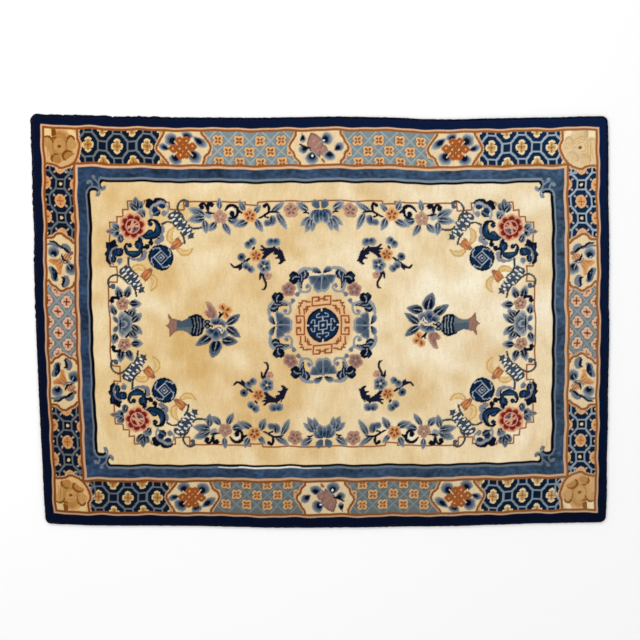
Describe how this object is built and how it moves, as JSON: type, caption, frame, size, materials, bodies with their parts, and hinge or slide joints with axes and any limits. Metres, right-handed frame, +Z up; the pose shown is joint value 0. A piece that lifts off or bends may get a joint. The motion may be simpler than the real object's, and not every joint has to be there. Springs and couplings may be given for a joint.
{
  "type": "chinese art deco rug",
  "caption": "Flat hand-knotted wool rug with a plain edge band, a figured border, a blue band and a pale flowered field, to lay on a floor.",
  "frame": {"origin": "on the floor under the middle of the rug's box", "axes": "+X along the rug's length, +Y along its width towards the back edge, +Z up out of the pile"},
  "size_m": [2.7936, 1.9968, 0.013],
  "materials": {
    "wool_pile": "dyed wool pile clipped short, soft and matt with a faint lustre"
  },
  "bodies": {
    "root": {"rug": "wool_pile"}
  },
  "joints": []
}
